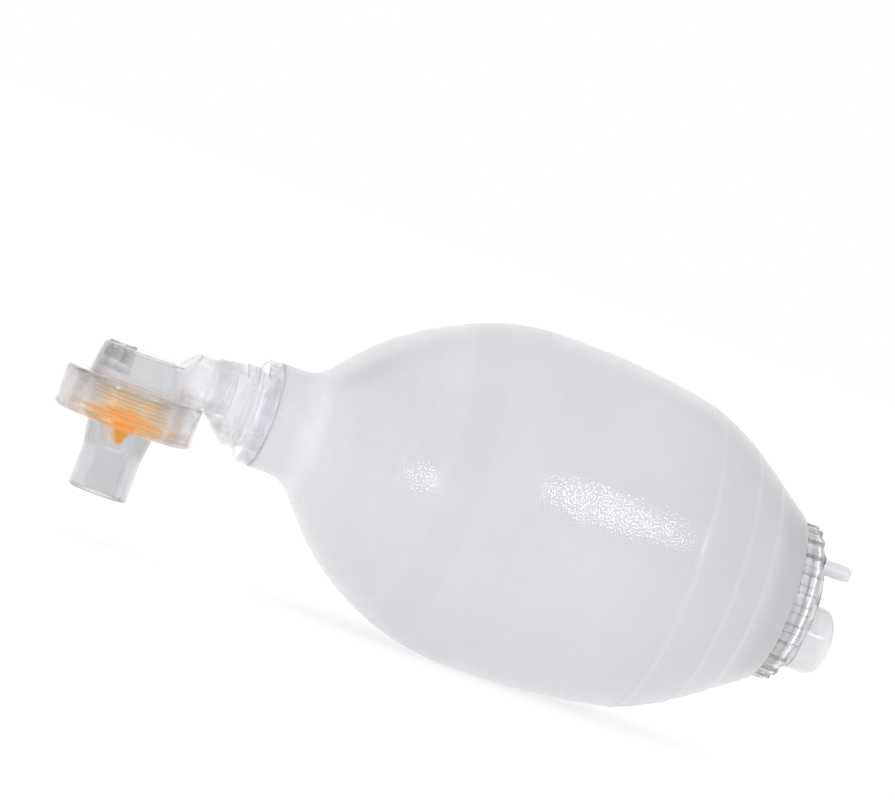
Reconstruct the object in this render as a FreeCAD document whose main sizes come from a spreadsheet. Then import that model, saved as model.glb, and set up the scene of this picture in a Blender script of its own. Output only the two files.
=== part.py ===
"""Bag valve mask: a self-inflating bag with a swivelling patient valve and an oxygen intake.

The bag's axis is the row's X axis. The patient valve is at -X with its patient port pointing down,
and the intake with its oxygen nipple and reservoir socket is at +X. The bag lies on its belly, so
Z = 0 is the surface it rests on. Sizes are in millimetres.

Three local frames are used. Parts of the bag, neck and intake are drawn with X along the bag's axis
and X = 0 at the bag's front mouth. Parts of the patient valve are drawn with Z along the valve's own
axis and Z = 0 on the bag's axis. The relief valve's small parts use the axis of its well.
"""

import FreeCAD, Part
import math
import os

import Sketcher

SIZES = {
    # The bag, from its front mouth to its rear one. It rests on a small flat under its belly.
    "belly_radius": 63.5,
    "rest_flat": 0.5,
    "rest_flat_start": 60.0,
    "rest_flat_end": 140.0,
    "rest_flat_half_width": 12.0,
    "bag_wall": 2.0,
    "neck_radius": 19.6,
    "neck_flare": 14.0,
    "shoulder_radius": 92.5,
    "shoulder_end": 95.0,
    "belly_flat": 8.0,
    "belly_curve": 269.0,
    "belly_turn": 10.5,
    "rear_curve": 52.6,
    "rear_turn": 23.9,
    "rear_slope_curve": 119.0,
    "rear_slope_turn": 34.5,
    "rear_face": 200.8,
    "rear_lip": 202.6,
    "rear_lip_radius": 26.3,
    "rear_mouth_radius": 24.6,
    "neck_end": 1.5,
    # The stretch of wall that a hand presses in.
    "press_middle": 100.0,
    "press_long": 42.0,
    "press_wide": 30.0,
    "press_gap": 0.4,
    # The rigid bush in the bag's neck.
    "bush_front": -4.3,
    "bush_radius": 19.25,
    "bush_bore": 14.05,
    "bush_end": 12.0,
    # The swivel bell, which turns in the bush.
    "bell_start": -20.5,
    "bell_start_radius": 10.0,
    "bell_end": -11.1,
    "bell_end_radius": 14.8,
    "ring_end": -5.5,
    "ring_radius": 15.5,
    "swivel_radius": 14.0,
    "swivel_bore": 12.0,
    "swivel_end": 15.6,
    "oring_middle": 5.0,
    "oring_wire": 0.55,
    "clip_start": 12.3,
    "clip_thick": 1.2,
    "clip_inner": 13.2,
    "clip_radius": 16.4,
    "clip_gap": 4.0,
    # The patient valve's upper housing, with the inlet tube from the bell.
    "valve_offset": 46.0,
    "housing_wall": 1.6,
    "chamber_top": 6.5,
    "chamber_top_radius": 16.3,
    "chamber_corner": 2.4,
    "chamber_foot": -5.6,
    "chamber_foot_radius": 17.8,
    "skirt_radius": 25.6,
    "skirt_corner": 1.6,
    "skirt_end": -21.2,
    "collar_radius": 19.65,
    "collar_bore": 18.0,
    "collar_end": -14.6,
    "tube_height": 3.5,
    "tube_radius": 9.2,
    "tube_wall": 1.5,
    "tube_end": -13.4,
    "bevel_low": 13.0,
    "bevel_run": 5.2,
    # The lower housing, with the exhaust windows and the patient port.
    "cup_radius": 21.0,
    "cup_bore": 19.7,
    "cup_floor": -19.9,
    "thread_count": 7,
    "thread_first": -8.5,
    "thread_pitch": 1.45,
    "thread_depth": 0.45,
    "seat_inner": 12.0,
    "seat_outer": 12.9,
    "seat_top": -18.95,
    "ledge_inner": 18.2,
    "window_count": 10,
    "window_inner": 13.7,
    "window_outer": 17.4,
    "window_half_width": 3.0,
    "throat_radius": 9.3,
    "throat_end": -28.8,
    "port_root_radius": 12.5,
    "port_radius": 11.0,
    "port_start": -31.0,
    "port_end": -46.6,
    "socket_radius": 7.7,
    "socket_start": -30.6,
    "port_edge": 0.5,
    # The duckbill valve.
    "flap_radius": 19.0,
    "flap_bottom": -18.65,
    "flap_thick": 1.0,
    "boss_radius": 7.4,
    "boss_top": -15.2,
    "bill_skin": 1.0,
    "bill_width": 6.0,
    "bill_root": 4.6,
    "bill_tip": 0.9,
    "bill_end": -27.0,
    # The relief valve, in a well in the top of the chamber.
    "well_offset": 9.3,
    "well_radius": 5.5,
    "well_bore": 4.4,
    "well_foot": -3.2,
    "well_floor": -2.0,
    "relief_hole": 2.2,
    "cap_plug": 4.8,
    "cap_top": 7.2,
    "cap_radius": 5.3,
    "cap_vent_count": 4,
    "cap_vent_radius": 0.8,
    "cap_vent_offset": 2.7,
    "poppet_bottom": -1.0,
    "poppet_top": -0.1,
    "poppet_radius": 3.5,
    "stem_radius": 0.8,
    "stem_gap": 0.06,
    "stem_top": 7.0,
    "seal_bottom": -1.7,
    "seal_radius": 3.2,
    "spring_radius": 2.3,
    "spring_wire": 0.25,
    "spring_turns": 4.5,
    # The insert in the bag's rear mouth, with the intake flap.
    "insert_start": 193.0,
    "insert_flange": 195.0,
    "insert_flange_radius": 27.0,
    "insert_bore": 21.9,
    "drum_start": 202.7,
    "drum_radius": 26.85,
    "insert_end": 206.0,
    "gasket_thick": 0.8,
    "gasket_outer": 24.2,
    "web_start": 198.0,
    "web_end": 199.6,
    "web_window_count": 6,
    "web_window_offset": 9.3,
    "web_window_radius": 3.9,
    "intake_flap_radius": 15.6,
    "intake_flap_thick": 0.8,
    "intake_flap_gap": 0.3,
    "stud_radius": 1.8,
    "stud_head_radius": 3.4,
    "stud_head_start": 193.4,
    "stud_head_end": 194.4,
    "stud_barb_radius": 2.4,
    "stud_end": 201.4,
    # The cover with the oxygen nipple and the reservoir socket.
    "cover_rim_end": 207.2,
    "cover_rim_radius": 26.4,
    "cover_radius": 25.2,
    "cover_edge": 209.8,
    "cover_face": 214.2,
    "cover_face_radius": 17.8,
    "cover_wall": 1.7,
    "nipple_height": 16.4,
    "nipple_boss_radius": 4.4,
    "nipple_boss_start": 209.0,
    "nipple_boss_end": 215.0,
    "nipple_radius": 2.9,
    "nipple_flange_radius": 3.8,
    "nipple_taper_start": 224.0,
    "nipple_end": 226.4,
    "nipple_end_radius": 2.4,
    "nipple_bore": 1.3,
    "reservoir_height": -10.4,
    "reservoir_start": 207.6,
    "reservoir_neck_radius": 12.0,
    "reservoir_neck_end": 214.7,
    "reservoir_radius": 12.5,
    "reservoir_wall": 1.6,
    "reservoir_shoulder": 221.8,
    "reservoir_round": 4.6,
    # The screwed collar that holds the cover on.
    "washer_start": 207.5,
    "washer_end": 208.0,
    "washer_inner": 25.5,
    "washer_outer": 26.7,
    "nut_start": 201.2,
    "nut_lip": 208.3,
    "nut_end": 209.5,
    "nut_bore": 26.9,
    "nut_mouth": 25.5,
    "nut_root": 28.4,
    "nut_tip": 29.7,
    "rib_count": 24,
    "rib_half_width": 1.75,
}

doc = FreeCAD.newDocument("bag_valve_mask")
sheet = doc.addObject("Spreadsheet::Sheet", "Sizes")


class Size:
    """A number together with the spreadsheet expression that gives it."""

    def __init__(self, value, text):
        self.value = value
        self.text = text

    def __add__(self, other):
        other = as_size(other)
        return Size(self.value + other.value, f"({self.text} + {other.text})")

    def __radd__(self, other):
        return as_size(other) + self

    def __sub__(self, other):
        other = as_size(other)
        return Size(self.value - other.value, f"({self.text} - {other.text})")

    def __rsub__(self, other):
        return as_size(other) - self

    def __mul__(self, other):
        other = as_size(other)
        return Size(self.value * other.value, f"({self.text} * {other.text})")

    def __rmul__(self, other):
        return as_size(other) * self

    def __truediv__(self, other):
        other = as_size(other)
        return Size(self.value / other.value, f"({self.text} / {other.text})")

    def __neg__(self):
        return Size(-self.value, f"(0 - {self.text})")


def as_size(number):
    return number if isinstance(number, Size) else Size(float(number), f"{number}")


def root(size):
    return Size(math.sqrt(size.value), f"sqrt({size.text})")


def sine(degrees):
    return Size(math.sin(math.radians(degrees.value)), f"sin({degrees.text} * 1 deg)")


def cosine(degrees):
    return Size(math.cos(math.radians(degrees.value)), f"cos({degrees.text} * 1 deg)")


class Sizes:
    """Every driving dimension as a Size, by its name."""


d = Sizes()


def fill_sheet():
    for row, (name, value) in enumerate(SIZES.items(), start=1):
        cell = f"B{row}"
        sheet.set(f"A{row}", name)
        sheet.set(cell, str(value))
        sheet.setAlias(cell, name)
        setattr(d, name, Size(float(value), f"Sizes.{name}"))
    doc.recompute()


# ---------------------------------------------------------------- drawing helpers

BAG_FRAME = "bag"
VALVE_FRAME = "valve"


def place(thing, frame, along=0, up=0):
    """Puts a part's local frame in the row's frame, whose X = 0 is the middle of the device."""
    x = (d.valve_offset + d.skirt_radius - d.nipple_end) / 2 + along
    if frame == VALVE_FRAME:
        x = x - d.valve_offset
    thing.setExpression("Placement.Base.x", x.text)
    thing.setExpression("Placement.Base.z", (d.belly_radius - d.rest_flat + up).text)


def new_body(label, frame=None, along=0, up=0):
    body = doc.addObject("PartDesign::Body", label)
    body.Label = label
    if frame:
        place(body, frame, along, up)
    return body


def origin_item(body, role):
    return next(item for item in body.Origin.OriginFeatures if item.Role == role)


def new_sketch(body, plane, offset=0):
    sketch = body.newObject("Sketcher::SketchObject", f"{body.Label}_sketch")
    sketch.AttachmentSupport = [(origin_item(body, plane), "")]
    sketch.MapMode = "FlatFace"
    sketch.setExpression("AttachmentOffset.Base.z", as_size(offset).text)
    return sketch


def fix_point(sketch, geometry, end, x, y):
    """Holds a point of a sketch at the two sizes given."""
    for kind, size, axis in (("DistanceX", as_size(x), -2), ("DistanceY", as_size(y), -1)):
        if abs(size.value) < 1e-9:
            sketch.addConstraint(Sketcher.Constraint("PointOnObject", geometry, end, axis))
            continue
        rule = Sketcher.Constraint(kind, -1, 1, geometry, end, size.value)
        number = sketch.addConstraint(rule)
        sketch.setExpression(f"Constraints[{number}]", size.text)


def draw_arc(sketch, start, finish, radius):
    """An arc of under half a turn. It bulges to the left of the way from start to finish if radius
    is positive, and to the right if it is negative."""
    chord = finish - start
    left = FreeCAD.Vector(-chord.y, chord.x, 0).normalize()
    bulge = 1 if radius.value > 0 else -1
    reach = math.sqrt(radius.value**2 - (chord.Length / 2) ** 2)
    centre = (start + finish) * 0.5 - left * reach * bulge
    first, last = (finish, start) if bulge > 0 else (start, finish)
    angles = [math.atan2(p.y - centre.y, p.x - centre.x) for p in (first, last)]
    circle = Part.Circle(centre, FreeCAD.Vector(0, 0, 1), abs(radius.value))
    number = sketch.addGeometry(Part.ArcOfCircle(circle, *angles))
    rule = sketch.addConstraint(Sketcher.Constraint("Radius", number, abs(radius.value)))
    sketch.setExpression(f"Constraints[{rule}]", radius.text if bulge > 0 else (-radius).text)
    return (number, 2, 1) if bulge > 0 else (number, 1, 2)


def outline(sketch, points):
    """A closed outline. Each point is (x, y), or (x, y, radius) where an arc runs to the next."""
    places = [FreeCAD.Vector(as_size(p[0]).value, as_size(p[1]).value, 0) for p in points]
    edges = []
    for i, point in enumerate(points):
        start, finish = places[i], places[(i + 1) % len(points)]
        if len(point) == 3:
            edges.append(draw_arc(sketch, start, finish, as_size(point[2])))
        else:
            edges.append((sketch.addGeometry(Part.LineSegment(start, finish)), 1, 2))
    for i, (number, start_end, finish_end) in enumerate(edges):
        following = edges[(i + 1) % len(edges)]
        rule = ("Coincident", number, finish_end, following[0], following[1])
        sketch.addConstraint(Sketcher.Constraint(*rule))
        fix_point(sketch, number, start_end, points[i][0], points[i][1])


def ring_circle(sketch, x, y, radius):
    radius = as_size(radius)
    middle = FreeCAD.Vector(as_size(x).value, as_size(y).value, 0)
    circle = Part.Circle(middle, FreeCAD.Vector(0, 0, 1), radius.value)
    number = sketch.addGeometry(circle)
    fix_point(sketch, number, 3, x, y)
    rule = sketch.addConstraint(Sketcher.Constraint("Radius", number, radius.value))
    sketch.setExpression(f"Constraints[{rule}]", radius.text)


def spin(body, points, axis, kind="Revolution"):
    """Revolves an outline drawn in the XZ plane about the local X or Z axis, or cuts it away."""
    sketch = new_sketch(body, "XZ_Plane")
    outline(sketch, points)
    feature = body.newObject(f"PartDesign::{kind}", f"{body.Label}_{kind.lower()}")
    feature.Profile = sketch
    feature.ReferenceAxis = (sketch, ["H_Axis" if axis == "X" else "V_Axis"])
    feature.Angle = 360
    doc.recompute()
    return feature


def extrude(body, kind, plane, offset, length, shapes, reverse=False):
    """Pads or pockets circles (x, y, radius) or outlines (lists) drawn at an offset from a plane.
    A Pad runs along the plane's normal, and a Pocket against it unless reversed."""
    sketch = new_sketch(body, plane, offset)
    for shape in shapes:
        if isinstance(shape, list):
            outline(sketch, shape)
        else:
            ring_circle(sketch, *shape)
    feature = body.newObject(f"PartDesign::{kind}", f"{body.Label}_{kind.lower()}")
    feature.Profile = sketch
    feature.setExpression("Length", as_size(length).text)
    feature.Reversed = reverse
    doc.recompute()
    return feature


def around(body, feature, axis, count):
    pattern = body.newObject("PartDesign::PolarPattern", f"{body.Label}_pattern")
    pattern.Originals = [feature]
    pattern.Axis = (origin_item(body, axis), [""])
    pattern.Angle = 360
    pattern.setExpression("Occurrences", count.text)
    body.Tip = pattern
    doc.recompute()


def ring(label, frame, inner, outer, start, finish, axis="X", along=0, up=0):
    """A plain ring or tube about the local X or Z axis."""
    body = new_body(label, frame, along, up)
    if axis == "X":
        corners = [(start, inner), (finish, inner), (finish, outer), (start, outer)]
    else:
        corners = [(inner, start), (outer, start), (outer, finish), (inner, finish)]
    spin(body, corners, axis)
    return body


# ---------------------------------------------------------------- the bag


def bag_profile(inset, rear_start, rear_radius):
    """Half of the bag's outline from its front mouth to its rear one, at an inset from the outside.

    The neck flares into a round shoulder, the belly is nearly straight, and the rear closes in two
    arcs and a cone. Every arc keeps its centre, so the inset changes only its radius.
    """
    shoulder = d.shoulder_radius - inset
    flare = d.neck_flare + inset
    neck = d.neck_radius - inset
    shoulder_low = d.belly_radius - d.shoulder_radius
    gap = d.neck_radius + d.neck_flare - shoulder_low
    span = d.shoulder_radius + d.neck_flare
    run = root(span * span - gap * gap)
    flare_x = d.shoulder_end - run
    meet_x = flare_x + flare * run / span
    meet_r = d.neck_radius + d.neck_flare - flare * gap / span
    belly_x = d.shoulder_end + d.belly_flat
    belly_low = d.belly_radius - d.belly_curve
    rear_x = belly_x + (d.belly_curve - d.rear_curve) * sine(d.belly_turn)
    rear_low = belly_low + (d.belly_curve - d.rear_curve) * cosine(d.belly_turn)
    slope_x = rear_x + (d.rear_curve - d.rear_slope_curve) * sine(d.rear_turn)
    slope_low = rear_low + (d.rear_curve - d.rear_slope_curve) * cosine(d.rear_turn)
    belly, rear, slope = (r - inset for r in (d.belly_curve, d.rear_curve, d.rear_slope_curve))
    end_x = slope_x + slope * sine(d.rear_slope_turn)
    end_r = slope_low + slope * cosine(d.rear_slope_turn)
    fall = sine(d.rear_slope_turn) / cosine(d.rear_slope_turn)
    return [
        (d.neck_end, neck),
        (flare_x, neck, -flare),
        (meet_x, meet_r, shoulder),
        (d.shoulder_end, d.belly_radius - inset),
        (belly_x, d.belly_radius - inset, belly),
        (rear_x + rear * sine(d.belly_turn), rear_low + rear * cosine(d.belly_turn), rear),
        (slope_x + slope * sine(d.rear_turn), slope_low + slope * cosine(d.rear_turn), slope),
        (end_x, end_r),
        (rear_start, end_r - (rear_start - end_x) * fall),
        (rear_start, rear_radius),
        (d.rear_lip, rear_radius),
    ]


def backwards(points):
    """The same run of lines and arcs, drawn from its last point to its first."""
    result = []
    for i in range(len(points) - 1, -1, -1):
        arc = points[i - 1][2:] if i > 0 else ()
        result.append((*points[i][:2], *(-radius for radius in arc)))
    return result


def bag_shell(label):
    """The whole bag, before the pressed stretch is parted from the rest."""
    body = new_body(label)
    outside = bag_profile(as_size(0), d.rear_face, d.rear_lip_radius)
    inside = bag_profile(d.bag_wall, d.rear_face - d.bag_wall, d.rear_mouth_radius)
    spin(body, outside + backwards(inside), "X")
    half = d.rest_flat_half_width
    foot = [
        (d.rest_flat_start, -half),
        (d.rest_flat_end, -half),
        (d.rest_flat_end, half),
        (d.rest_flat_start, half),
    ]
    extrude(body, "Pocket", "XY_Plane", d.rest_flat - d.belly_radius, d.rest_flat + 1, [foot])
    return body


def press_prism(label, grow):
    """An upright oval column over the belly, which outlines the stretch of wall that is pressed."""
    oval = doc.addObject("Part::Ellipse", f"{label}_oval")
    oval.setExpression("MajorRadius", (d.press_long + grow).text)
    oval.setExpression("MinorRadius", (d.press_wide + grow).text)
    oval.setExpression("Placement.Base.x", d.press_middle.text)
    column = doc.addObject("Part::Extrusion", label)
    column.Base = oval
    column.DirMode = "Custom"
    column.Dir = (0, 0, 1)
    column.setExpression("LengthFwd", (d.belly_radius + 5).text)
    column.Solid = True
    return column


def boolean(kind, label, base, tool, frame=BAG_FRAME):
    result = doc.addObject(f"Part::{kind}", label)
    result.Label = label
    result.Base = base
    result.Tool = tool
    place(result, frame)
    return result


def make_bag():
    bag = boolean("Cut", "bag", bag_shell("shell_body"), press_prism("press_hole", d.press_gap))
    wall = boolean(
        "Common", "bag_pressed_wall", bag_shell("shell_patch"), press_prism("press_oval", 0)
    )
    return [bag, wall]



# ---------------------------------------------------------------- the neck swivel


def make_neck_bush():
    body = new_body("neck_bush", BAG_FRAME)
    inner = d.neck_radius - d.bag_wall
    points = [
        (d.bush_front, d.bush_bore),
        (d.bush_end, d.bush_bore),
        (d.bush_end, inner),
        (d.neck_end, inner),
        (d.neck_end, d.bush_radius - 1),
        (d.neck_end - 1, d.bush_radius),
        (d.bush_front + 1, d.bush_radius),
        (d.bush_front, d.bush_radius - 1),
    ]
    spin(body, points, "X")
    return body


def join_circles(body, sections):
    """A skin over circles (x, z, radius) that are each drawn across the local X axis."""
    sketches = []
    for x, z, radius in sections:
        sketch = new_sketch(body, "YZ_Plane", x)
        ring_circle(sketch, 0, z, radius)
        sketches.append(sketch)
    skin = body.newObject("PartDesign::AdditiveLoft", f"{body.Label}_loft")
    skin.Profile = sketches[0]
    skin.Sections = sketches[1:]
    skin.Ruled = True
    doc.recompute()


def make_swivel_bell():
    """An eccentric cone from the inlet tube to the swivel, open right through."""
    body = new_body("swivel_bell", BAG_FRAME)
    small = (d.bell_start, d.tube_height, d.bell_start_radius)
    join_circles(body, [small, (d.bell_end, 0, d.bell_end_radius)])
    points = [
        (d.bell_end, 0),
        (d.swivel_end, 0),
        (d.swivel_end, d.swivel_radius - 0.6),
        (d.swivel_end - 0.8, d.swivel_radius),
        (d.ring_end, d.swivel_radius),
        (d.ring_end, d.ring_radius - 0.7),
        (d.ring_end - 0.7, d.ring_radius),
        (d.bell_end + 0.7, d.ring_radius),
        (d.bell_end, d.ring_radius - 0.7),
    ]
    spin(body, points, "X")
    socket = (0, d.tube_height, d.tube_radius)
    extrude(body, "Pocket", "YZ_Plane", d.tube_end, d.tube_end - d.bell_start, [socket])
    bore = (0, 0, d.swivel_bore)
    extrude(body, "Pocket", "YZ_Plane", d.swivel_end, d.swivel_end - d.tube_end, [bore])
    cut_ring(body, d.oring_middle - d.oring_wire, d.oring_middle + d.oring_wire, oring_inner())
    cut_ring(body, d.clip_start, d.clip_start + d.clip_thick, d.clip_inner)
    return body


def cut_ring(body, start, finish, bottom):
    """A square groove round the swivel."""
    top = d.swivel_radius + 1
    points = [(start, bottom), (finish, bottom), (finish, top), (start, top)]
    spin(body, points, "X", "Groove")


def oring_inner():
    return d.swivel_radius - 2 * d.oring_wire


def make_swivel_oring():
    body = new_body("swivel_oring", BAG_FRAME)
    sketch = new_sketch(body, "XZ_Plane")
    ring_circle(sketch, d.oring_middle, d.swivel_radius - d.oring_wire, d.oring_wire)
    feature = body.newObject("PartDesign::Revolution", "swivel_oring_revolution")
    feature.Profile = sketch
    feature.ReferenceAxis = (sketch, ["H_Axis"])
    feature.Angle = 360
    doc.recompute()
    return body


def make_swivel_clip():
    """A split ring that keeps the swivel in the bush."""
    end = d.clip_start + d.clip_thick
    body = ring("swivel_clip", BAG_FRAME, d.clip_inner, d.clip_radius, d.clip_start, end)
    half = d.clip_gap / 2
    low = -d.clip_radius - 1
    split = [(-half, low), (half, low), (half, 0), (-half, 0)]
    extrude(body, "Pocket", "YZ_Plane", end, d.clip_thick, [split])
    return body


# ---------------------------------------------------------------- the patient valve


def bevelled(body, low, start, finish):
    """Cuts the inlet tube's upper end on a slope that starts at the height given."""
    rise = d.tube_height + d.tube_radius - d.chamber_top
    slope = d.bevel_run / rise
    top = d.tube_height + d.tube_radius + 0.5
    points = [(start, low), (finish, low), (finish + (top - low) * slope, top), (start, top)]
    depth = 2 * (d.tube_radius + 0.5)
    extrude(body, "Pocket", "XZ_Plane", depth / 2, depth, [points])


def housing_outside():
    body = new_body("housing_outside")
    corner = d.skirt_corner
    round_top = d.chamber_corner
    points = [
        (0, d.chamber_top),
        (d.chamber_top_radius - round_top, d.chamber_top, round_top),
        (d.chamber_top_radius, d.chamber_top - round_top),
        (d.chamber_foot_radius, d.chamber_foot),
        (d.skirt_radius - corner, d.chamber_foot, corner),
        (d.skirt_radius, d.chamber_foot - corner),
        (d.skirt_radius, d.skirt_end + corner, corner),
        (d.skirt_radius - corner, d.skirt_end),
        (d.skirt_radius - corner, d.chamber_foot - d.housing_wall),
        (d.collar_radius, d.chamber_foot - d.housing_wall),
        (d.collar_radius, d.collar_end),
        (0, d.collar_end),
    ]
    spin(body, points, "Z")
    length = d.valve_offset + d.tube_end - 8
    extrude(body, "Pad", "YZ_Plane", 8, length, [(0, d.tube_height, d.tube_radius)])
    bevelled(body, d.chamber_top, as_size(0), d.bevel_low)
    well = (-d.well_offset, 0, d.well_bore)
    extrude(body, "Pocket", "XY_Plane", d.chamber_top, d.chamber_top - d.well_floor, [well])
    hole = (-d.well_offset, 0, d.relief_hole)
    extrude(body, "Pocket", "XY_Plane", d.well_floor, d.well_floor - d.well_foot, [hole])
    return body


def housing_inside():
    """The air space in the upper housing, which leaves the relief valve's well standing."""
    body = new_body("housing_inside")
    ceiling = d.chamber_top - d.housing_wall
    points = [
        (0, ceiling),
        (d.chamber_top_radius - d.housing_wall, ceiling),
        (d.chamber_foot_radius - d.housing_wall, d.chamber_foot),
        (d.collar_bore, d.chamber_foot - 2.4),
        (d.collar_bore, d.collar_end),
        (0, d.collar_end),
    ]
    spin(body, points, "Z")
    length = d.valve_offset + d.tube_end
    bore = (0, d.tube_height, d.tube_radius - d.tube_wall)
    extrude(body, "Pad", "YZ_Plane", 0, length, [bore])
    bevelled(body, ceiling, as_size(-1), d.bevel_low + 0.8)
    well = (-d.well_offset, 0, d.well_radius)
    extrude(body, "Pocket", "XY_Plane", ceiling + 1, ceiling + 1 - d.well_foot, [well])
    return body


def make_valve_housing():
    label = "valve_housing"
    return boolean("Cut", label, housing_outside(), housing_inside(), VALVE_FRAME)


def thread_points():
    """The fine rings round the cup, from the top one down."""
    points = []
    for i in range(int(d.thread_count.value)):
        top = d.thread_first - i * d.thread_pitch
        points.append((d.cup_radius, top))
        points.append((d.cup_radius - d.thread_depth, top - d.thread_pitch * 0.35))
        points.append((d.cup_radius, top - d.thread_pitch * 0.7))
    return points


def make_patient_connector():
    """The cup with the exhaust windows, and the port that a mask or tube goes on."""
    body = new_body("patient_connector", VALVE_FRAME)
    top = d.chamber_foot - d.housing_wall
    edge = d.port_edge
    points = [
        (d.cup_bore, top),
        (d.cup_radius, top),
        *thread_points(),
        (d.cup_radius, d.skirt_end + 1),
        (d.cup_radius - 1, d.skirt_end),
        (d.port_root_radius, d.skirt_end),
        (d.port_radius, d.port_start),
        (d.port_radius, d.port_end + edge),
        (d.port_radius - edge, d.port_end),
        (d.socket_radius + edge, d.port_end),
        (d.socket_radius, d.port_end + edge),
        (d.socket_radius, d.socket_start),
        (d.throat_radius, d.throat_end),
        (d.throat_radius, d.cup_floor),
        (d.seat_inner, d.cup_floor),
        (d.seat_inner, d.seat_top),
        (d.seat_outer, d.seat_top),
        (d.seat_outer, d.cup_floor),
        (d.ledge_inner, d.cup_floor),
        (d.ledge_inner, d.seat_top),
        (d.cup_bore, d.seat_top),
    ]
    spin(body, points, "Z")
    half = d.window_half_width
    window = [
        (d.window_inner, half * -0.8),
        (d.window_outer, -half),
        (d.window_outer, half),
        (d.window_inner, half * 0.8),
    ]
    depth = d.cup_floor - d.skirt_end
    cut = extrude(body, "Pocket", "XY_Plane", d.cup_floor, depth, [window])
    around(body, cut, "Z_Axis", d.window_count)
    return body


def make_duckbill_valve():
    """A soft disc over the exhaust windows, with two lips that hang in the port's throat."""
    body = new_body("duckbill_valve", VALVE_FRAME)
    top = d.flap_bottom + d.flap_thick
    points = [
        (0, d.flap_bottom),
        (d.flap_radius, d.flap_bottom),
        (d.flap_radius, top - 0.3),
        (d.flap_radius - 0.3, top),
        (d.boss_radius, top),
        (d.boss_radius, d.boss_top - 0.5),
        (d.boss_radius - 0.5, d.boss_top),
        (0, d.boss_top),
    ]
    spin(body, points, "Z")
    root_half, tip_half = d.bill_root, d.bill_tip
    wedge = [
        (-root_half, d.flap_bottom),
        (root_half, d.flap_bottom),
        (tip_half, d.bill_end),
        (-tip_half, d.bill_end),
    ]
    width = 2 * d.bill_width
    extrude(body, "Pad", "XZ_Plane", width / -2, width, [wedge])
    skin = d.bill_skin
    hollow = [
        (-root_half + skin, d.boss_top),
        (root_half - skin, d.boss_top),
        (root_half - skin, d.flap_bottom),
        (0, d.bill_end + 1.2),
        (-root_half + skin, d.flap_bottom),
    ]
    inner = width - 2 * skin
    extrude(body, "Pocket", "XZ_Plane", inner / 2, inner, [hollow])
    return body


# ---------------------------------------------------------------- the relief valve


def relief_body(label):
    return new_body(label, VALVE_FRAME, along=-d.well_offset)


def make_relief_cap():
    body = relief_body("relief_cap")
    hole = d.stem_radius + d.stem_gap
    points = [
        (hole, d.cap_plug),
        (d.well_bore, d.cap_plug),
        (d.well_bore, d.chamber_top),
        (d.cap_radius, d.chamber_top),
        (d.cap_radius, d.cap_top - 0.3),
        (d.cap_radius - 0.3, d.cap_top),
        (hole, d.cap_top),
    ]
    spin(body, points, "Z")
    vent = (d.cap_vent_offset, 0, d.cap_vent_radius)
    cut = extrude(body, "Pocket", "XY_Plane", d.cap_top, d.cap_top - d.cap_plug, [vent])
    around(body, cut, "Z_Axis", d.cap_vent_count)
    return body


def make_relief_poppet():
    body = relief_body("relief_poppet")
    points = [
        (0, d.poppet_bottom),
        (d.poppet_radius, d.poppet_bottom),
        (d.poppet_radius, d.poppet_top),
        (d.stem_radius, d.poppet_top),
        (d.stem_radius, d.stem_top - 0.3),
        (d.stem_radius - 0.3, d.stem_top),
        (0, d.stem_top),
    ]
    spin(body, points, "Z")
    return body


def make_relief_seal():
    body = relief_body("relief_seal")
    radius = d.seal_radius
    height = d.poppet_bottom - d.seal_bottom
    extrude(body, "Pad", "XY_Plane", d.seal_bottom, height, [(0, 0, radius)])
    return body


def make_relief_spring():
    """A compression spring between the poppet and the cap."""
    body = relief_body("relief_spring")
    spine = body.newObject("PartDesign::AdditiveHelix", "relief_spring_helix")
    sketch = new_sketch(body, "XZ_Plane")
    start = d.poppet_top + d.spring_wire + 0.02
    ring_circle(sketch, d.spring_radius, start, d.spring_wire)
    height = d.cap_plug - d.poppet_top - 2 * d.spring_wire - 0.04
    spine.Profile = sketch
    spine.ReferenceAxis = (sketch, ["V_Axis"])
    spine.Mode = "height-turns-angle"
    spine.setExpression("Height", height.text)
    spine.setExpression("Turns", d.spring_turns.text)
    body.Tip = spine
    doc.recompute()
    return body


# ---------------------------------------------------------------- the intake


def make_intake_insert():
    """The rigid ring in the bag's rear mouth, with the web that the intake flap closes."""
    body = new_body("intake_insert", BAG_FRAME)
    points = [
        (d.insert_start, d.insert_bore),
        (d.web_start, d.insert_bore),
        (d.web_start, d.stud_radius),
        (d.web_end, d.stud_radius),
        (d.web_end, d.insert_bore),
        (d.insert_end - d.gasket_thick, d.insert_bore),
        (d.insert_end - d.gasket_thick, d.gasket_outer),
        (d.insert_end, d.gasket_outer),
        (d.insert_end, d.drum_radius),
        (d.drum_start, d.drum_radius),
        (d.drum_start, d.rear_mouth_radius),
        (d.insert_flange, d.rear_mouth_radius),
        (d.insert_flange, d.insert_flange_radius),
        (d.insert_start, d.insert_flange_radius),
    ]
    spin(body, points, "X")
    window = (d.web_window_offset, 0, d.web_window_radius)
    cut = extrude(body, "Pocket", "YZ_Plane", d.web_end, d.web_end - d.web_start, [window])
    around(body, cut, "X_Axis", d.web_window_count)
    return body


def make_intake_flap():
    finish = d.web_start - d.intake_flap_gap
    start = finish - d.intake_flap_thick
    hole = d.stud_radius + d.stem_gap
    return ring("intake_flap", BAG_FRAME, hole, d.intake_flap_radius, start, finish)


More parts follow.
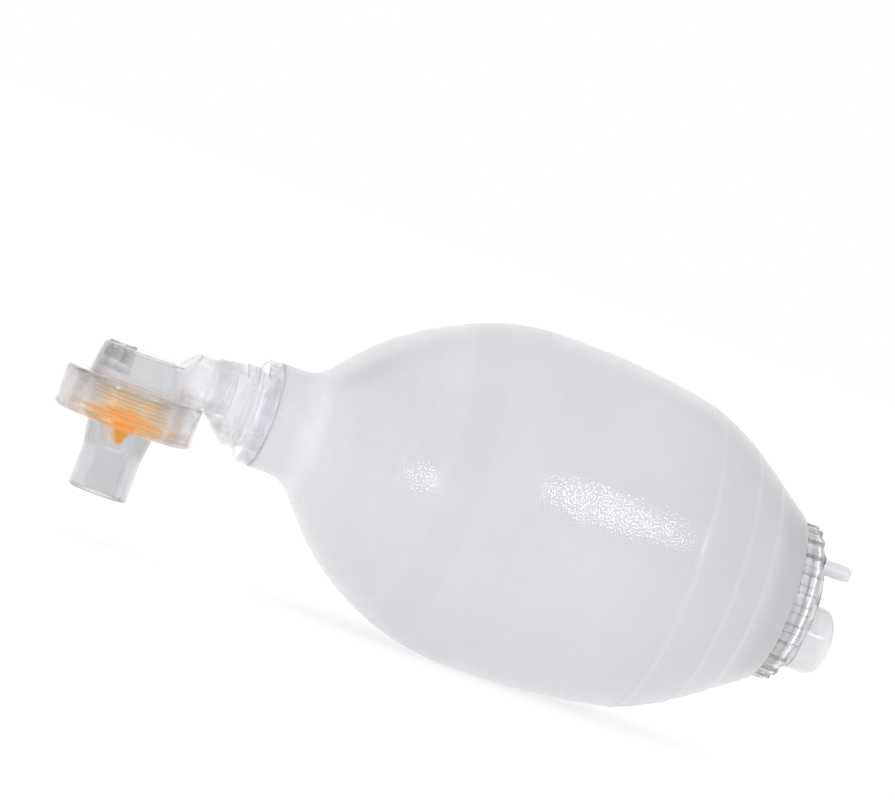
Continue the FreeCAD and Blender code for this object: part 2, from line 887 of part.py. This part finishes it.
def make_intake_stud():
    body = new_body("intake_stud", BAG_FRAME)
    points = [
        (d.stud_head_start, 0),
        (d.stud_end, 0),
        (d.stud_end, d.stud_radius - 0.6),
        (d.web_end + 0.6, d.stud_barb_radius),
        (d.web_end, d.stud_barb_radius),
        (d.web_end, d.stud_radius),
        (d.stud_head_end, d.stud_radius),
        (d.stud_head_end, d.stud_head_radius),
        (d.stud_head_start + 0.4, d.stud_head_radius),
        (d.stud_head_start, d.stud_head_radius - 0.6),
    ]
    spin(body, points, "X")
    return body


def make_cover_gasket():
    start = d.insert_end - d.gasket_thick
    return ring("cover_gasket", BAG_FRAME, d.insert_bore, d.gasket_outer, start, d.insert_end)


def make_intake_cover():
    body = new_body("intake_cover", BAG_FRAME)
    wall = d.cover_wall
    points = [
        (d.insert_end, d.insert_bore),
        (d.insert_end, d.cover_rim_radius),
        (d.cover_rim_end, d.cover_rim_radius),
        (d.cover_rim_end, d.cover_radius),
        (d.cover_edge - 0.8, d.cover_radius),
        (d.cover_edge, d.cover_radius - 0.6),
        (d.cover_face, d.cover_face_radius),
        (d.cover_face, 0),
        (d.cover_face - wall, 0),
        (d.cover_face - wall, d.cover_face_radius - 1),
        (d.cover_edge - 0.6, d.insert_bore),
    ]
    spin(body, points, "X")
    boss = (0, d.nipple_height, d.nipple_boss_radius)
    length = d.nipple_boss_end - d.nipple_boss_start
    extrude(body, "Pad", "YZ_Plane", d.nipple_boss_start, length, [boss])
    hole = (0, d.nipple_height, d.nipple_radius)
    extrude(body, "Pocket", "YZ_Plane", d.nipple_boss_end, length, [hole])
    hole = (0, d.reservoir_height, d.reservoir_neck_radius)
    length = d.nipple_boss_end - d.reservoir_start
    extrude(body, "Pocket", "YZ_Plane", d.nipple_boss_end, length, [hole])
    return body


def make_oxygen_nipple():
    body = new_body("oxygen_nipple", BAG_FRAME, up=d.nipple_height)
    points = [
        (d.nipple_boss_start, d.nipple_bore),
        (d.nipple_end, d.nipple_bore),
        (d.nipple_end, d.nipple_end_radius),
        (d.nipple_taper_start, d.nipple_radius),
        (d.nipple_boss_end + 1, d.nipple_radius),
        (d.nipple_boss_end + 1, d.nipple_flange_radius),
        (d.nipple_boss_end, d.nipple_flange_radius),
        (d.nipple_boss_end, d.nipple_radius),
        (d.nipple_boss_start, d.nipple_radius),
    ]
    spin(body, points, "X")
    return body


def make_reservoir_socket():
    """A short tube for the oxygen reservoir, whose end is rounded inwards to a mouth."""
    body = new_body("reservoir_socket", BAG_FRAME, up=d.reservoir_height)
    radius, wall, bend = d.reservoir_radius, d.reservoir_wall, d.reservoir_round
    inner = bend - wall
    points = [
        (d.reservoir_start, radius - wall),
        (d.reservoir_start, d.reservoir_neck_radius),
        (d.reservoir_neck_end, d.reservoir_neck_radius),
        (d.reservoir_neck_end, radius),
        (d.reservoir_shoulder, radius, bend),
        (d.reservoir_shoulder + bend, radius - bend),
        (d.reservoir_shoulder + inner, radius - bend, -inner),
        (d.reservoir_shoulder, radius - wall),
    ]
    spin(body, points, "X")
    return body


def make_slip_washer():
    inner, outer = d.washer_inner, d.washer_outer
    return ring("slip_washer", BAG_FRAME, inner, outer, d.washer_start, d.washer_end)


def make_rear_collar():
    """The screwed collar, with blunt ribs to grip it by."""
    body = new_body("rear_collar", BAG_FRAME)
    points = [
        (d.nut_start, d.nut_bore),
        (d.nut_lip, d.nut_bore),
        (d.nut_lip, d.nut_mouth),
        (d.nut_end, d.nut_mouth),
        (d.nut_end, d.nut_root - 0.6),
        (d.nut_end - 0.6, d.nut_root),
        (d.nut_start, d.nut_root),
    ]
    spin(body, points, "X")
    half = d.rib_half_width
    low = d.nut_root - 0.3
    rib = [
        (-half, low),
        (half, low),
        (half, d.nut_tip - 0.6),
        (half - 0.6, d.nut_tip),
        (-half + 0.6, d.nut_tip),
        (-half, d.nut_tip - 0.6),
    ]
    length = d.nut_end - d.nut_start - 0.7
    pad = extrude(body, "Pad", "YZ_Plane", d.nut_start, length, [rib])
    around(body, pad, "X_Axis", d.rib_count)
    return body


# ---------------------------------------------------------------- building and writing


def check(part):
    shape = part.Shape
    if shape.isNull() or not shape.isValid() or len(shape.Solids) != 1:
        raise ValueError(f"{part.Label} is not one valid solid")


def main():
    fill_sheet()
    parts = [
        *make_bag(),
        make_neck_bush(),
        make_swivel_bell(),
        make_swivel_oring(),
        make_swivel_clip(),
        make_valve_housing(),
        make_patient_connector(),
        make_duckbill_valve(),
        make_relief_cap(),
        make_relief_poppet(),
        make_relief_seal(),
        make_relief_spring(),
        make_intake_insert(),
        make_intake_flap(),
        make_intake_stud(),
        make_cover_gasket(),
        make_intake_cover(),
        make_oxygen_nipple(),
        make_reservoir_socket(),
        make_slip_washer(),
        make_rear_collar(),
    ]
    doc.recompute()
    for item in doc.Objects:
        if "Invalid" in item.State or "Error" in item.State:
            raise ValueError(f"{item.Label} did not compute")
    for part in parts:
        check(part)
    os.makedirs("parts", exist_ok=True)
    for part in parts:
        part.Shape.exportStep(f"parts/{part.Label}.step")


main()
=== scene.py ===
"""Looks for the bag valve mask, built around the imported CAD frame."""

import math

import bpy
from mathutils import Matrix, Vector
from mathutils.bvhtree import BVHTree
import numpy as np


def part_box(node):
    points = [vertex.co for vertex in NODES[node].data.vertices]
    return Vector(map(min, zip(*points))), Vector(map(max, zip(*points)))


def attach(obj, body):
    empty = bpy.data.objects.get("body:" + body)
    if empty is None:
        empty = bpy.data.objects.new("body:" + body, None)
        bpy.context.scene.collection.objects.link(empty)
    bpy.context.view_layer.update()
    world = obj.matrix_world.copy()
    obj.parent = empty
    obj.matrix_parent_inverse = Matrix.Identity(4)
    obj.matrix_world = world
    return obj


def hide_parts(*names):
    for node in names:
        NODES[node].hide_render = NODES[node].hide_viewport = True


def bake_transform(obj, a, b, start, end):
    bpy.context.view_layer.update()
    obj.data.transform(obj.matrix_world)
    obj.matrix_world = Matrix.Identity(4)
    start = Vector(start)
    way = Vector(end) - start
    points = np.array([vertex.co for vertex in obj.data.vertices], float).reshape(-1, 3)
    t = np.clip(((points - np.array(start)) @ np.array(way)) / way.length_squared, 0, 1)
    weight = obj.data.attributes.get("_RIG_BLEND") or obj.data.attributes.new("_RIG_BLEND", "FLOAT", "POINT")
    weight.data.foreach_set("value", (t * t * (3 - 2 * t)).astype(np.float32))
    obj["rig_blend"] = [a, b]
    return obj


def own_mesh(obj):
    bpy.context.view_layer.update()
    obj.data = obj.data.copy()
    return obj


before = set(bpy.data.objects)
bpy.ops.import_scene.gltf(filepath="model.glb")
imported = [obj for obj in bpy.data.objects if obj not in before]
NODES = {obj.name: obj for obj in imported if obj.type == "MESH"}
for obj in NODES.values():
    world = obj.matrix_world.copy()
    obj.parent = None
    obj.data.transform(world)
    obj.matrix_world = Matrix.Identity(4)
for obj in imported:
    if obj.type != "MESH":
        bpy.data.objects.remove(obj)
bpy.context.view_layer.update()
MM = 0.001

# The bag's own frame: its axis, and its front mouth, where distances along it start.
BUSH_LOW, BUSH_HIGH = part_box("neck_bush")
BAG_LOW, BAG_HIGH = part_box("bag")
AXIS_Z = (BUSH_LOW.z + BUSH_HIGH.z) / 2
MOUTH_X = BAG_LOW.x - 1.5 * MM

# The patient valve's axis, and the spacing of its cup's rings in millimetres.
CUP_LOW, CUP_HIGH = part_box("patient_connector")
VALVE_X = (CUP_LOW.x + CUP_HIGH.x) / 2
RING_PITCH = 1.45

# Along the bag, in millimetres from its front mouth: the ridges round the rear, each with how far
# it stands out, the edges of the shallow belt, and the pebbled zones, each with where it starts, is
# full, starts to fade and ends.
RIDGES = ((156.0, 0.26), (173.5, 0.24), (185.5, 0.2))
BELT = (60.0, 71.5)
FRONT_PEBBLES = (6, 40, 52, 62)
REAR_PEBBLES = (84, 98, 148, 158)


# ---------------------------------------------------------------- node helpers


class Nodes:
    """Adds nodes to a tree and links them by short calls."""

    def __init__(self, tree):
        self.tree = tree
        tree.nodes.clear()

    def add(self, kind, settings=None, **inputs):
        node = self.tree.nodes.new(kind)
        for name, value in (settings or {}).items():
            setattr(node, name, value)
        for name, value in inputs.items():
            self.feed(node, name.replace("_", " "), value)
        return node

    def feed(self, node, name, value):
        socket = node.inputs[int(name)] if name.isdigit() else node.inputs[name]
        if isinstance(value, bpy.types.NodeSocket):
            self.tree.links.new(value, socket)
        else:
            socket.default_value = value

    def math(self, operation, a, b=0.0, clamp=False):
        node = self.add("ShaderNodeMath", {"operation": operation, "use_clamp": clamp})
        self.feed(node, "0", a)
        self.feed(node, "1", b)
        return node.outputs[0]

    def ramp(self, value, low, high, out_low=0.0, out_high=1.0):
        node = self.add("ShaderNodeMapRange", {"interpolation_type": "SMOOTHSTEP"})
        for name, number in zip(
            ("Value", "From Min", "From Max", "To Min", "To Max"),
            (value, low, high, out_low, out_high),
        ):
            self.feed(node, name, number)
        return node.outputs[0]

    def zone(self, value, start, full, fading, end):
        """1 from full to fading, and 0 outside start and end."""
        return self.math("MULTIPLY", self.ramp(value, start, full), self.ramp(value, end, fading))

    def noise(self, vector, scale, detail=3.0):
        node = self.add("ShaderNodeTexNoise", Vector=vector)
        node.inputs["Scale"].default_value = scale
        node.inputs["Detail"].default_value = detail
        return node.outputs["Fac"]

    def distance(self, vector, axis, origin):
        """How far the surface is from origin along an axis, in millimetres."""
        place = self.add("ShaderNodeSeparateXYZ", Vector=vector).outputs[axis]
        return self.math("DIVIDE", self.math("SUBTRACT", place, origin), MM)

    def vectors(self, operation, a, b=(0, 0, 0)):
        return self.add("ShaderNodeVectorMath", {"operation": operation}, **{"0": a, "1": b})

    def mix(self, factor, a, b):
        node = self.add("ShaderNodeMix", {"data_type": "RGBA"})
        self.feed(node, "0", factor)
        self.feed(node, "6", a)
        self.feed(node, "7", b)
        return node.outputs[2]

    def bump(self, height, distance, strength=1.0, normal=None):
        node = self.add("ShaderNodeBump", Height=height)
        node.inputs["Distance"].default_value = distance
        node.inputs["Strength"].default_value = strength
        if normal is not None:
            self.feed(node, "Normal", normal)
        return node.outputs["Normal"]


def material(name):
    mat = bpy.data.materials.new(name)
    mat.use_nodes = True
    nodes = Nodes(mat.node_tree)
    shader = nodes.add("ShaderNodeBsdfPrincipled")
    out = nodes.add("ShaderNodeOutputMaterial")
    nodes.tree.links.new(shader.outputs[0], out.inputs["Surface"])
    where = nodes.add("ShaderNodeTexCoord").outputs["Object"]
    return mat, nodes, shader, where


def shader_numbers(shader, **values):
    for name, value in values.items():
        shader.inputs[name.replace("_", " ")].default_value = value


def grey(value, tint=0.0):
    return (value, value, value * (1 + tint), 1)


# ---------------------------------------------------------------- materials


def bag_material():
    """Frosted silicone: pebbled in two zones, smooth between them, with painted light making the neck
    lighter and painted shade making it a little darker to the rear.
    """
    mat, n, shader, where = material("bag_frosted")
    along = n.distance(where, "X", MOUTH_X)
    pebbled = n.math("ADD", n.zone(along, *FRONT_PEBBLES), n.zone(along, *REAR_PEBBLES), clamp=True)
    belt = n.zone(along, BELT[0] - 1, BELT[0] + 1, BELT[1] - 0.5, BELT[1] + 1.5)
    rear = n.ramp(along, 120, 205)
    cloud = n.noise(where, 28, 4)
    # Painted light and shade in the base colour: lighter at the neck, darker towards the rear.
    tone = n.mix(n.ramp(along, 5, 32), grey(0.65, 0.05), grey(0.54, 0.05))
    tone = n.mix(rear, tone, grey(0.44, 0.05))
    tone = n.mix(n.math("MULTIPLY", belt, 0.12), tone, grey(0.42, 0.06))
    tone = n.mix(n.ramp(cloud, 0.35, 0.7, 0, 0.3), tone, grey(0.50, 0.06))
    # Painted highlight: a lighter line along each ridge, where light catches it.
    painted_ridge_highlight = 0.0
    for middle, _tall in RIDGES:
        near = n.math("ABSOLUTE", n.math("SUBTRACT", along, middle))
        painted_ridge_highlight = n.math("ADD", n.ramp(near, 1.4, 0.3), painted_ridge_highlight)
    tone = n.mix(n.math("MULTIPLY", painted_ridge_highlight, 0.11), tone, grey(0.75, 0.03))
    n.feed(shader, "Base Color", tone)
    grain = n.add("ShaderNodeTexVoronoi", {"feature": "SMOOTH_F1"}, Vector=where)
    grain.inputs["Scale"].default_value = 1350
    grain.inputs["Smoothness"].default_value = 0.4
    fine = n.noise(where, 2400, 2)
    pebble = n.math("MULTIPLY", n.math("SUBTRACT", grain.outputs["Distance"], 0.3), pebbled)
    height = n.math("ADD", pebble, n.math("MULTIPLY", fine, 0.12))
    waves = n.noise(where, 60, 2)
    normal = n.bump(waves, 0.3 * MM, 0.2)
    n.feed(shader, "Normal", n.bump(height, 0.088 * MM, 1.0, normal))
    n.feed(shader, "Roughness", n.ramp(pebbled, 0, 1, 0.38, 0.09))
    shader_numbers(
        shader,
        Subsurface_Weight=0.35,
        Subsurface_Scale=0.006,
        IOR=1.41,
        Specular_IOR_Level=1.0,
        Sheen_Weight=0.6,
        Sheen_Roughness=0.45,
    )
    shader.inputs["Subsurface Radius"].default_value = (1.0, 1.0, 1.0)
    return mat


def inside_material():
    """The bag's inside, with a painted glow that stands in for the light that comes through its wall."""
    mat, n, shader, where = material("bag_inside")
    tone = n.mix(n.noise(where, 30, 3), grey(0.78), grey(0.84))
    n.feed(shader, "Base Color", tone)
    n.feed(shader, "Emission Color", tone)
    # Painted glow: emission stands in for light coming through the wall.
    shader_numbers(shader, Roughness=0.6, Emission_Strength=0.72)
    return mat


def clear_material(name, clarity, roughness, solid=0.3, wave=0.45, tint_and_painted_light=None):
    """Clear moulded plastic, mostly seen straight through, with a faint moulding ripple and haze."""
    mat, n, shader, where = material(name)
    out = mat.node_tree.nodes["Material Output"]
    cloud = n.noise(where, 90, 4)
    tint = n.mix(n.ramp(cloud, 0.3, 0.75), grey(clarity, 0.012), grey(clarity * 0.97, 0.012))
    # Painted light and shade laid into the tint where a function is given: the orange seen through the cup,
    # the greyer chamber, the dark rib flanks.
    if tint_and_painted_light:
        tint = tint_and_painted_light(n, where, tint)
    n.feed(shader, "Base Color", tint)
    haze = n.noise(where, 160, 5)
    n.feed(shader, "Roughness", n.ramp(haze, 0.35, 0.75, roughness, roughness + 0.06))
    ripple = n.bump(n.noise(where, 120, 3), 0.5 * MM, wave)
    n.feed(shader, "Normal", n.bump(n.noise(where, 420, 2), 0.12 * MM, wave, ripple))
    shader_numbers(shader, Transmission_Weight=1.0, IOR=1.45, Coat_Weight=1.0, Coat_Roughness=0.04)
    through = n.add("ShaderNodeBsdfTransparent", Color=tint)
    edge = n.add("ShaderNodeLayerWeight", Blend=0.35).outputs["Facing"]
    share = n.ramp(edge, 0.05, 0.8, solid, 0.92)
    both = n.add("ShaderNodeMixShader", **{"0": share, "1": through.outputs[0]})
    n.feed(both, "2", shader.outputs[0])
    n.tree.links.new(both.outputs[0], out.inputs["Surface"])
    return mat


def cup_painted_orange(n, where, tint):
    """Clears the ringed cup over the greyer port, and paints the duckbill's orange between its rings, a
    painted stand-in for the orange seen refracted through them.
    """
    up = n.distance(where, "Z", AXIS_Z)
    cup = n.ramp(up, -22.5, -20.5)
    tint = n.mix(cup, tint, grey(0.965, 0.01))
    across = n.distance(where, "X", VALVE_X)
    middle = n.ramp(n.math("ABSOLUTE", across), 16, 9)
    rings = n.math("SINE", n.math("MULTIPLY", up, 2 * math.pi / RING_PITCH))
    amount = n.math("MULTIPLY", n.math("MULTIPLY", cup, middle), n.ramp(rings, -0.6, 0.9, 0.15, 1.0))
    patchy = n.math("MULTIPLY", amount, n.ramp(n.noise(where, 260, 3), 0.35, 0.65, 0.45, 1.0))
    return n.mix(patchy, tint, (1.0, 0.81, 0.44, 1))


def chamber_shade(n, where, tint):
    """Painted shade: leaves the inlet tube clear, and makes the skirt a little greyer and the chamber greyer
    still.
    """
    along = n.distance(where, "X", VALVE_X)
    up = n.distance(where, "Z", AXIS_Z)
    tube = n.math("MULTIPLY", n.ramp(along, 15, 19), n.ramp(up, -13, -10))
    body = n.mix(n.ramp(up, -12, -6), grey(0.94, 0.01), grey(0.87, 0.01))
    return n.mix(tube, body, tint)


def rib_shade(n, where, tint):
    """Darkens the flanks of the collar's ribs, which bend the light away, and leaves their crests clear."""
    centred = n.vectors("SUBTRACT", where, (0, 0, AXIS_Z)).outputs[0]
    radial = n.vectors("NORMALIZE", n.vectors("MULTIPLY", centred, (0, 1, 1)).outputs[0]).outputs[0]
    facing = n.add("ShaderNodeTexCoord").outputs["Normal"]
    around = n.vectors("MULTIPLY", facing, (0, 1, 1)).outputs[0]
    steep = n.vectors("LENGTH", n.vectors("CROSS_PRODUCT", around, radial).outputs[0])
    return n.mix(n.ramp(steep.outputs["Value"], 0.15, 0.75, 0.0, 0.7), tint, grey(0.45))


def silicone_material(name, deep, pale, roughness, subsurface, painted_glow=0.0):
    """Soft translucent silicone, slightly cloudy, with an optional painted glow that brightens it."""
    mat, n, shader, where = material(name)
    cloud = n.ramp(n.noise(where, 220, 4), 0.3, 0.7)
    n.feed(shader, "Base Color", n.mix(cloud, deep, pale))
    haze = n.noise(where, 400, 3)
    n.feed(shader, "Roughness", n.ramp(haze, 0.3, 0.7, roughness - 0.06, roughness + 0.08))
    n.feed(shader, "Normal", n.bump(n.noise(where, 900, 3), 0.1 * MM, 0.4))
    n.feed(shader, "Emission Color", deep)
    shader_numbers(
        shader,
        Subsurface_Weight=subsurface,
        Subsurface_Scale=0.003,
        IOR=1.41,
        Emission_Strength=painted_glow,
    )
    shader.inputs["Subsurface Radius"].default_value = (1.0, 0.6, 0.4)
    return mat


def steel_material():
    mat, n, shader, where = material("spring_steel")
    n.feed(shader, "Base Color", n.mix(n.noise(where, 900, 3), grey(0.6), grey(0.85)))
    n.feed(shader, "Roughness", n.ramp(n.noise(where, 1500, 3), 0.3, 0.7, 0.22, 0.4))
    shader_numbers(shader, Metallic=1.0)
    return mat


def floor_material():
    mat, n, shader, where = material("floor_pale")
    n.feed(shader, "Base Color", n.mix(n.noise(where, 3, 2), grey(0.50), grey(0.52)))
    shader_numbers(shader, Roughness=0.9, Specular_IOR_Level=0.0, Emission_Strength=0.62)
    shader.inputs["Emission Color"].default_value = (1, 1, 1, 1)
    return mat


def paint(node, mat):
    for material_slot in NODES[node].material_slots:
        material_slot.material = mat


# ---------------------------------------------------------------- the bag's skin

# The wall's thickness in millimetres, and the number of points round the skin.
WALL = 2.0
AROUND = 192


def side_radius(tree, x):
    """The bag's outside radius at x, measured on the CAD solid's side."""
    origin = Vector((x, -1.0, AXIS_Z))
    hit = tree.ray_cast(origin, Vector((0, 1, 0)))[0]
    return abs(hit.y)


def relief(along):
    """How far the skin stands out of the plain profile, in millimetres: ridges and a shallow belt."""
    height = 0.0
    for middle, tall in RIDGES:
        height += tall * math.exp(-(((along - middle) / 0.9) ** 2))
        if along > middle:
            height -= 0.05
    steps = [1 / (1 + math.exp((edge - along) / 0.5)) for edge in BELT]
    return height - 0.1 * (steps[0] - steps[1])


def smooth_radii(tree, start, end):
    """Radii each millimetre along the bag, evened out past the neck to lose the CAD mesh's facets."""
    count = int(end - start)
    raw = [side_radius(tree, MOUTH_X + (start + i) * MM) / MM for i in range(count + 1)]
    even = []
    for i in range(count + 1):
        reach = 3.0 * min(1.0, max(0.0, (i - 8) / 12.0), (count - i) / 9.0)
        weights = [math.exp(-0.5 * (j / max(reach, 0.01)) ** 2) for j in range(-9, 10)]
        near = [raw[min(max(i + j, 0), count)] for j in range(-9, 10)]
        even.append(sum(w * r for w, r in zip(weights, near)) / sum(weights))
    return even


def radius_at(even, start, along):
    place = min(max(along - start, 0.0), len(even) - 1.001)
    i = int(place)
    return even[i] + (even[i + 1] - even[i]) * (place - i)


def skin_stations(start, end):
    details = [*BELT, *(middle for middle, _tall in RIDGES)]
    stations = []
    along = start
    while along < end:
        stations.append(along)
        near_detail = any(abs(along - middle) < 4 for middle in details)
        along += 0.4 if near_detail else 1.6
    stations.append(end)
    return stations


def sag(along, height):
    """How far the soft front of the bag sinks under its own weight, in millimetres. Height is 1 at
    the very top of the bag."""
    return 1.4 * math.exp(-(((along - 48) / 24) ** 2)) * max(height, 0.0) ** 1.5


def press_weight(along, angle):
    """How much of the press a point takes: all of it on the middle of the bag's top, and less and
    less towards the ends and down the sides. Both faces of the wall take the same."""
    turn = min(angle, 2 * math.pi - angle) / math.radians(75)
    away = math.hypot((along - 102) / 80, turn)
    inside = min(max((1 - away) / 0.8, 0.0), 1.0)
    return inside * inside * (3 - 2 * inside)


def make_skin():
    """One closed shell: the outside from mouth to mouth, and the inside a wall's thickness in."""
    first = 1.6
    rear_inner = 24.7
    tree = BVHTree.FromPolygons(
        [v.co.copy() for v in NODES["bag"].data.vertices],
        [tuple(p.vertices) for p in NODES["bag"].data.polygons],
    )
    last = (BAG_HIGH.x - MOUTH_X) / MM - 2.0
    stations = skin_stations(first, last)
    even = smooth_radii(tree, first, last)
    radii = [radius_at(even, first, s) for s in stations]
    outer = [(s, r + relief(s)) for s, r in zip(stations, radii)]
    ring_rows = [(first, radii[0] - 1.0), *outer]
    ring_rows += [(last + 0.1, rear_inner + 2.0), (last + 1.8, rear_inner + 1.6), (last + 1.8, rear_inner)]
    ring_rows += [(last - WALL, rear_inner)]
    ring_rows += [(s, max(r - WALL, 17.7)) for s, r in reversed(outer[:-8:4])]
    verts = []
    faces = []
    weights = []
    for s, r in ring_rows:
        for k in range(AROUND):
            angle = 2 * math.pi * k / AROUND
            lower = r - sag(s, math.cos(angle))
            high = max(AXIS_Z + lower * MM * math.cos(angle), 0.0)
            verts.append((MOUTH_X + s * MM, lower * MM * math.sin(angle), high))
            weights.append(press_weight(s, angle))
    rows = len(ring_rows)
    for i in range(rows):
        for k in range(AROUND):
            a = i * AROUND + k
            b = i * AROUND + (k + 1) % AROUND
            c = ((i + 1) % rows) * AROUND + (k + 1) % AROUND
            d = ((i + 1) % rows) * AROUND + k
            faces.append((a, b, c, d))
    mesh = bpy.data.meshes.new("bag_skin")
    mesh.from_pydata(verts, [], faces)
    mesh.update()
    mesh.shade_smooth()
    skin = bpy.data.objects.new("bag_skin", mesh)
    bpy.context.collection.objects.link(skin)
    mesh.materials.append(bag_material())
    mesh.materials.append(inside_material())
    for face in mesh.polygons[(len(outer) + 4) * AROUND : -AROUND]:
        face.material_index = 1
    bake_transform(skin, "bag", "pressed_wall", start=(0, 0, AXIS_Z + 0.030), end=(0, 0, AXIS_Z + 0.0635))
    mesh.attributes["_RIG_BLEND"].data.foreach_set("value", weights)
    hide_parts("bag", "bag_pressed_wall")


# ---------------------------------------------------------------- the scene


def make_spring():
    """The relief spring in steel, carried with the head; the real spring shortens towards the cap as the
    poppet lifts into it.
    """
    mesh = NODES["relief_spring"].data.copy()
    mesh.materials.clear()
    mesh.materials.append(steel_material())
    spring = bpy.data.objects.new("spring_coil", mesh)
    bpy.context.collection.objects.link(spring)
    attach(spring, "head")
    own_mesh(spring)
    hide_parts("relief_spring")


def dress_nodes():
    clear = clear_material("clear_plastic", 0.95, 0.02)
    housing = clear_material("housing_plastic", 0.95, 0.02, wave=0.35, tint_and_painted_light=chamber_shade)
    port = clear_material("port_plastic", 0.84, 0.02, wave=0.25, tint_and_painted_light=cup_painted_orange)
    collar = clear_material("collar_plastic", 0.96, 0.03, solid=0.7, tint_and_painted_light=rib_shade)
    frosted = clear_material("frosted_plastic", 0.96, 0.3)
    milky = silicone_material("milky_plastic", grey(0.7, 0.03), grey(0.74, 0.03), 0.16, 0.4)
    # The white parts, the seals and the duckbill get a painted glow, which brightens them where they sit in
    # shade inside the valve.
    white = silicone_material("white_plastic", grey(0.72), grey(0.76), 0.35, 0.2, 0.9)
    seal = silicone_material("seal_silicone", grey(0.7), grey(0.8), 0.4, 0.3, 0.4)
    deep, pale = (0.95, 0.44, 0.03, 1), (1.0, 0.52, 0.06, 1)
    orange = silicone_material("orange_silicone", deep, pale, 0.35, 0.3, 0.3)
    looks = {
        clear: ("swivel_bell", "neck_bush", "relief_cap"),
        housing: ("valve_housing",),
        port: ("patient_connector",),
        collar: ("rear_collar", "intake_cover"),
        frosted: ("intake_insert",),
        milky: ("reservoir_socket", "oxygen_nipple"),
        white: ("swivel_clip", "relief_poppet", "intake_stud", "slip_washer"),
        seal: ("swivel_oring", "relief_seal", "intake_flap", "cover_gasket"),
        orange: ("duckbill_valve",),
    }
    for mat, names in looks.items():
        for name in names:
            paint(name, mat)


def make_floor():
    mesh = bpy.data.meshes.new("floor")
    size = 30.0
    corners = [(-size, -size, 0), (size, -size, 0), (size, size, 0), (-size, size, 0)]
    mesh.from_pydata(corners, [], [(0, 1, 2, 3)])
    floor = bpy.data.objects.new("floor", mesh)
    bpy.context.collection.objects.link(floor)
    mesh.materials.append(floor_material())


def view_direction(azimuth, elevation):
    a, e = math.radians(azimuth), math.radians(elevation)
    return Vector((math.sin(a) * math.cos(e), -math.cos(a) * math.cos(e), math.sin(e)))


def area_light(name, target, direction, distance, size_x, size_y, power):
    light = bpy.data.lights.new(name, "AREA")
    light.shape = "RECTANGLE"
    light.size = size_x
    light.size_y = size_y
    light.energy = power
    lamp = bpy.data.objects.new(name, light)
    lamp.matrix_world = direction.to_track_quat("Z", "Y").to_matrix().to_4x4()
    lamp.location = target + direction.normalized() * distance
    bpy.context.collection.objects.link(lamp)


def make_world():
    world = bpy.data.worlds.new("studio")
    bpy.context.scene.world = world
    world.use_nodes = True
    n = Nodes(world.node_tree)
    direction = n.add("ShaderNodeTexCoord").outputs["Generated"]
    split = n.add("ShaderNodeSeparateXYZ", Vector=direction)
    front = n.ramp(split.outputs["Y"], 0.35, 0.45, 0.88, 0.18)
    back = n.ramp(split.outputs["Y"], 0.65, 0.73, 0.0, 0.82)
    top = n.ramp(split.outputs["Z"], 0.55, 0.8, 0.0, 1.0)
    shade = n.math("MAXIMUM", n.math("ADD", front, back), top)
    seen = n.add("ShaderNodeLightPath").outputs["Is Camera Ray"]
    strength = n.math("MAXIMUM", shade, seen)
    background = n.add("ShaderNodeBackground", Color=(1, 1, 1, 1), Strength=strength)
    out = n.add("ShaderNodeOutputWorld")
    n.tree.links.new(background.outputs[0], out.inputs["Surface"])


def make_camera():
    """The camera looks from the valve's side of the front, and is rolled, so the bag slopes down."""
    distance = 1.8
    width = 324.0 * MM
    direction = view_direction(-12.0, 2.0)
    right = Vector((0, 0, 1)).cross(direction).normalized()
    up = direction.cross(right).normalized()
    roll = math.radians(20.3)
    rolled_right = right * math.cos(roll) + up * math.sin(roll)
    rolled_up = direction.cross(rolled_right).normalized()
    middle = Vector((MOUTH_X + 100 * MM, 0, AXIS_Z))
    target = middle - rolled_right * 25.5 * MM + rolled_up * 38.0 * MM
    camera = bpy.data.cameras.new("camera")
    camera.sensor_width = 36
    camera.lens = 36 * distance / width
    camera.clip_end = 100
    holder = bpy.data.objects.new("camera", camera)
    matrix = holder.matrix_world.copy()
    for i, column in enumerate((rolled_right, rolled_up, direction)):
        for j in range(3):
            matrix[j][i] = column[j]
    matrix.translation = target + direction * distance
    holder.matrix_world = matrix
    bpy.context.collection.objects.link(holder)
    bpy.context.scene.camera = holder


def light_scene():
    bag_middle = Vector((MOUTH_X + 110 * MM, 0, AXIS_Z))
    area_light("key", bag_middle, view_direction(22, 19), 1.2, 0.42, 0.03, 1.9)
    area_light("low", bag_middle, view_direction(-41, -1.2), 1.2, 0.26, 0.04, 0.8)
    area_light("top", bag_middle, Vector((-0.3, 0.1, 1)), 1.4, 1.0, 1.0, 1.2)


# Light has to pass a dozen clear walls to get through the valve.
bpy.context.scene.cycles.transparent_max_bounces = 40
bpy.context.scene.cycles.transmission_bounces = 20
bpy.context.scene.cycles.max_bounces = 20
bpy.context.scene.view_settings.view_transform = "Standard"
make_skin()
make_spring()
dress_nodes()
make_floor()
make_world()
make_camera()
light_scene()
